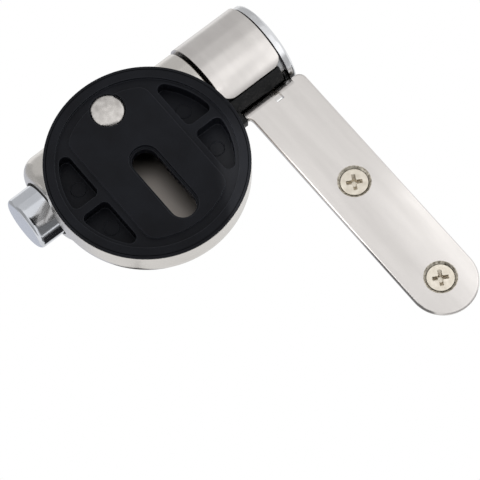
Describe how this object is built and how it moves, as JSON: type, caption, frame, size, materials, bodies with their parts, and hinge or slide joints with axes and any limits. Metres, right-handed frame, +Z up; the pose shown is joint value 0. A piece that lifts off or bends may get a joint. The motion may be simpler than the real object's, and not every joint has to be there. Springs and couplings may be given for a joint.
{
  "type": "toilet seat hinge",
  "caption": "Soft-closing toilet seat hinge: round base with a slotted pad, a barrel with a release button, and a flat strap curled round a damper.",
  "frame": {"origin": "centre of the round base pad, on the plane where its rim rests on the ceramic", "axes": "+Z up from the ceramic, +X along the barrel from the button to the end cap, +Y from the barrel to the tip of the strap"},
  "size_m": [0.0873, 0.111, 0.0394],
  "materials": {
    "polished_stainless": "polished",
    "bright_chrome": "mirror",
    "black_moulding": "satin moulded",
    "damper_black": "matte",
    "rivet_metal": "satin",
    "plated_screw": "nickel plated",
    "spring_wire": "drawn",
    "slip_plastic": "moulded",
    "seal_rubber": "matte"
  },
  "bodies": {
    "base": {"base_pad": "black_moulding", "hinge_housing": "polished_stainless", "latch_stud": "rivet_metal", "stud_washer": "plated_screw", "barrel_plug": "black_moulding", "thrust_washer": "black_moulding", "damper_rotor": "slip_plastic", "damper_seal": "seal_rubber", "button_spring": "spring_wire"},
    "button": {"release_button": "bright_chrome", "release_plunger": "slip_plastic"},
    "strap": {"seat_strap": "polished_stainless", "damper_body": "damper_black", "damper_cover": "damper_black", "end_cap": "bright_chrome", "strap_screws": "plated_screw"}
  },
  "joints": [
    {"name": "seat_hinge", "type": "hinge", "parent": "base", "child": "strap", "pos_m": [0.041, -0.0155, 0.025], "axis": [1, 0, 0], "range_deg": [0, 110]},
    {"name": "button_press", "type": "slide", "parent": "base", "child": "button", "axis": [1, 0, 0], "range_m": [0, 0.004], "stiffness_N_per_m": 600, "springref_m": -0.004, "deforming": ["button_spring"]}
  ]
}
